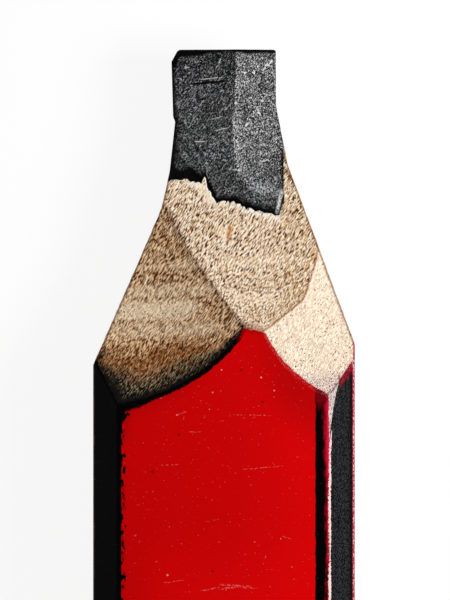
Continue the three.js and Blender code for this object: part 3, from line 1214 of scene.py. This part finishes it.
# %% Black bevels and their wear
def coat_fields(tree):
    """Grains, and distances past the bevel's two corners, towards the broad face and from the side."""
    coat = fields_of(tree, ["bevel_mm", "from_cut"])
    coat.past_front = coat.bevel_mm - bevel_half
    coat.past_side = coat.bevel_mm + bevel_half
    coat.right = ramp(coat.x, -0.1, 0.1)
    coat.left = 1.0 - coat.right
    coat.ragged = grain(coat, width=0.2, length=0.45, seed=0, turn=0.0)
    coat.streaks = grain(coat, width=0.12, length=2.5, seed=3, turn=0.0)
    coat.flecked = grain(coat, width=0.06, length=0.10, seed=8, turn=0.0)
    coat.mottle = coat.ragged - 0.5
    return coat


def wear_fields(coat):
    """Where the right bevel's corner is rubbed, and where its black has gone by the cut."""
    uneven = (coat.streaks - 0.5) * 0.5 + ramp(coat.down, 19.0, 28.0) * 0.18 + coat.mottle * 0.35
    past_corner = ramp(coat.past_front, -0.03, 0.05) * coat.right
    coat.rubbed = ramp(coat.past_front + uneven, 0.54, 0.1) * past_corner
    on_bevel = ramp(coat.past_front, 0.1, -0.1) * ramp(coat.past_side, -0.1, 0.1) * coat.right
    cut_rub = ramp(coat.from_cut + coat.mottle * 0.4, 0.36, 0.12) * on_bevel * ramp(coat.down, 18.2, 17.6)
    on_lap = ramp(coat.past_front, -0.05, 0.05) * ramp(coat.past_front, RIGHT_LAP + 0.1, RIGHT_LAP - 0.1)
    faded = ramp(coat.down - coat.mottle * 1.2, 19.5, 18.2) * on_lap * coat.right * 0.65
    coat.cut_rub = strongest(cut_rub, faded)


def black_share(coat):
    """Black from the narrow side over the bevel to its lap on the broad face, less what is worn off."""
    blots = ramp(coat.ragged, 0.50, 0.64) * coat.left * LEFT_BLOTS
    top = ramp(coat.down, 20.3, 19.6) * coat.left * TOP_LAP
    lap = coat.right * (RIGHT_LAP - LEFT_LAP) + LEFT_LAP + blots + coat.mottle * coat.right * 0.12 + top
    outer_side = ramp(coat.past_side + 0.24 - coat.right * 0.42, 0.0, 0.06)
    thinned = strongest(coat.rubbed**2.4, coat.cut_rub)
    return ramp(coat.past_front - lap, 0.03, -0.03) * outer_side * (1.0 - thinned)


print(f"black laps {LEFT_LAP} mm past the left corner and {RIGHT_LAP} mm past the right one")


# %% Reds, bare corners and dirt
def shaded_red(coat):
    """Red with painted light to the right and towards the butt, painted shade beside the left lap, the cut
    and the right side's edge, crimson where rubbed.
    """
    # Painted shade: the red darkens beside the left lap, by the cut, beside the flake and along the cut
    # edge.
    dim = ramp(coat.past_front, 0.5, 0.1) * ramp(coat.past_side, -0.6, -0.1)
    dim = dim * ramp(coat.ragged, 0.38, 0.56) * coat.left * 0.85
    by_cut = ramp(coat.from_cut, 1.0, 0.0) * ramp(coat.x, 0.5, -3.5) * 0.25
    by_flake = ramp(coat.from_cut, 4.0, 0.5) * ramp(coat.x, 0.5, 4.0) * 0.34
    by_edge = ramp(coat.from_cut, 0.16, 0.05) * 0.45
    by_lap = ramp(coat.past_front, 1.0, 0.2) * ramp(coat.from_cut, 2.6, 0.6) * coat.left * 0.4
    # side_shade: painted shade, darker crimson along the corner of the right side face.
    side_shade = ramp(coat.past_side, 0.32, 0.22) * ramp(coat.past_side, -0.4, -0.05) * coat.right
    worn_red = blend(ramp(coat.past_front, 0.3, 0.02), CRIMSON, BRIGHT_CRIMSON)
    # Painted light: the red brightens to the right, away from the tip.
    red = blend(ramp(coat.x, 0.0, 5.5) * ramp(coat.down, 18.0, 21.0), RED, LIT_RED)
    return layered(
        red,
        # Painted light: brighter red towards the butt.
        (ramp(coat.down, 25.0, 29.5) * ramp(coat.x, -5.0, -3.0) * 0.42, LOWER_LIT_RED),
        (strongest(dim, by_cut, by_lap, by_flake, by_edge), SHADE_RED),
        (coat.rubbed, worn_red),
        (coat.cut_rub, CUT_CRIMSON),
        (side_shade, SIDE_SHADE_CRIMSON),
    )


def corner_layers(coat):
    """Grey of wear and painted light on the right bevel's black, pale ground on the corners, dust on the
    cut edge and a smear of sooty black.
    """
    # Painted light with wear: the right bevel's black is greyer where it faces the light.
    greyer = coat.flecked + (coat.streaks - 0.5) * 0.2
    on_bevel = ramp(coat.past_front, 0.0, -0.1) * coat.right * ramp(coat.past_side, 0.2, 0.6)
    worn_width = (coat.streaks + coat.flecked * 0.6 - 0.57) * 0.25
    bare = ramp(worn_width - abs(coat.past_front + 0.03), -0.012, 0.02) * coat.right
    chips = ramp(abs(coat.past_side - 0.06), 0.12, 0.05) * ramp(coat.flecked, 0.48, 0.58) * coat.right * 0.7
    outline = ramp(abs(coat.past_side + 0.02), 0.09, 0.03) * ramp(coat.streaks, 0.4, 0.6) * coat.left
    fringe = ramp(coat.from_cut, 0.1, 0.02) * ramp(coat.x, 1.9, 2.3) * ramp(coat.flecked, 0.5, 0.6)
    smear_width = ramp(coat.x, -3.4, -5.4) * 0.24 + 0.09
    smear = ramp((coat.from_cut + coat.mottle * 0.2) / smear_width, 1.3, 0.7) * ramp(coat.x, 1.2, 0.6)
    return [
        (coat.black, blend(ramp(greyer, 0.34, 0.76) * on_bevel, BLACK, WORN_AND_LIT_BLACK)),
        (strongest(bare, chips), GROUND),
        (outline * 0.7, RUBBED_EDGE),
        (fringe * 0.1, DUST),
        (smear, BLACK),
    ]


def dirt_layers(coat):
    """Dust in the scratches and specks, and dark dirt."""
    dusty = (1.0 - coat.black * 0.8) * 0.4
    dirt = use(SPECKS, coat, Size=0.14, Level=0.765, Seed=9)
    dirt = strongest(dirt, dots(coat, DIRT_DOTS) * 0.8)
    return [
        (coat.marks * dusty, DUST),
        (dots(coat, DUST_DOTS) * 0.7, DUST),
        (dirt * 0.7, BLACK),
    ]


print("reds, corners and dirt ready")


# %% Lacquer material
def pencil_lacquer():
    """The red under the black and its wear, with scratches cut into a smooth gloss."""
    tree, shader = surface("lacquer", [lacquer])
    coat = coat_fields(tree)
    wear_fields(coat)
    coat.black = black_share(coat)
    scratches = strokes(coat, SCRATCHES, gaps=0.42)
    specks = use(SPECKS, coat, Size=0.09, Level=0.715, Seed=0)
    blotches = use(SPECKS, coat, Size=0.15, Level=0.75, Seed=4)
    coat.marks = strongest(scratches, specks * 0.7, blotches)
    colour = layered(shaded_red(coat), *corner_layers(coat), *dirt_layers(coat))
    fit_surface(shader, colour, coat.ragged * 0.25 + 0.25, coat.flecked * 0.08 - coat.marks, COAT_RELIEF)
    shader.inputs["Specular IOR Level"].default_value = COAT_GLOSS


pencil_lacquer()
print("lacquer on", lacquer.name)

# %% [markdown]
# ## Stage
#
# The photograph looks straight down, so the camera does too, through a long lens that keeps the sides
# parallel. A key light from the right models the facets and a dim world fills the shadows. The floor is
# a plain diffuse sheet that shines white for the camera only, so it lights nothing and keeps a faint
# shadow under the pencil.

# %% Camera
PHOTO_SIZE = (450, 600)
PHOTO_TIP_ROW = 50
PHOTO_AXIS_COLUMN = 224
BODY_PIXELS = 259.5
LENS = 260
SENSOR = 36
CLIP_START = 0.01
pixel = 2 * half_width / BODY_PIXELS
view_x = (PHOTO_SIZE[0] / 2 - PHOTO_AXIS_COLUMN) * pixel
view_y = tip_y - (PHOTO_SIZE[1] / 2 - PHOTO_TIP_ROW) * pixel
distance = LENS / SENSOR * PHOTO_SIZE[1] * pixel

scene = bpy.context.scene
scene.view_settings.view_transform = "Standard"
camera = bpy.data.objects.new("camera", bpy.data.cameras.new("camera"))
camera.data.lens = LENS
camera.data.sensor_width = SENSOR
camera.data.clip_start = CLIP_START
camera.location = np.array([view_x, view_y, middle + distance]) * MM
scene.collection.objects.link(camera)
scene.camera = camera
print(f"camera {distance:.0f} mm above the pencil")

# %% Light
KEY_PLACE = (0.056, 0.018, 0.060)
KEY_TURN = (0, 45, 0)
KEY_SIZE = 0.034
KEY_POWER = 0.0715
WORLD_LEVEL = 0.24
SWEEP_TOP = 0.75
SWEEP_FOOT = 0.45
key = bpy.data.objects.new("key", bpy.data.lights.new("key", "AREA"))
key.data.size = KEY_SIZE
key.data.energy = KEY_POWER
key.location = KEY_PLACE
key.rotation_euler = np.radians(KEY_TURN)
key.visible_camera = False
scene.collection.objects.link(key)


def rays_that_show(tree):
    """1 for rays that show the backdrop: from the camera, through glass or off gloss."""
    rays = put(tree, "ShaderNodeLightPath").outputs
    labels = ["Is Camera Ray", "Is Glossy Ray", "Is Transmission Ray"]
    return strongest(*[Field(rays[label]) for label in labels])


world = bpy.data.worlds.new("studio")
world.use_nodes = True
scene.world = world
tree = world.node_tree
background = tree.nodes["Background"]
towards = put(tree, "ShaderNodeTexCoord").outputs["Generated"]
upward = parts(towards)[2]
sweep = rays_that_show(tree) * ramp(upward, SWEEP_TOP, SWEEP_FOOT)
level = sweep * (1 - WORLD_LEVEL) + WORLD_LEVEL
tree.links.new(level.socket, background.inputs["Strength"])
background.inputs["Color"].default_value = (1, 1, 1, 1)
print(f"key light of {KEY_POWER} W, world at {WORLD_LEVEL}")

# %% Floor
FLOOR_HALF = 0.5
FLOOR_WHITE = 0.85
FLOOR_GLOW = 0.9
FLOOR_KEEP = 0.11
FLOOR_ROUGHNESS = 0.9
corners = np.array([(-1, -1, 0), (1, -1, 0), (1, 1, 0), (-1, 1, 0)]) * FLOOR_HALF
floor_mesh = bpy.data.meshes.new("floor")
floor_mesh.from_pydata(corners.tolist(), [], [(0, 1, 2, 3)])
floor = bpy.data.objects.new("floor", floor_mesh)
scene.collection.objects.link(floor)
tree, shader = surface("floor", [floor])
seen = rays_that_show(tree)
paint = blend(seen, (FLOOR_WHITE,) * 3, (FLOOR_KEEP,) * 3)
tree.links.new(paint, shader.inputs["Base Color"])
tree.links.new((seen * FLOOR_GLOW).socket, shader.inputs["Emission Strength"])
shader.inputs["Emission Color"].default_value = (1, 1, 1, 1)
shader.inputs["Roughness"].default_value = FLOOR_ROUGHNESS
shader.inputs["Specular IOR Level"].default_value = 0.0
print("floor laid")

# %% [markdown]
# ## End

# The visual model must stay inside the frame's box.

# %% Finish
print("scene built")
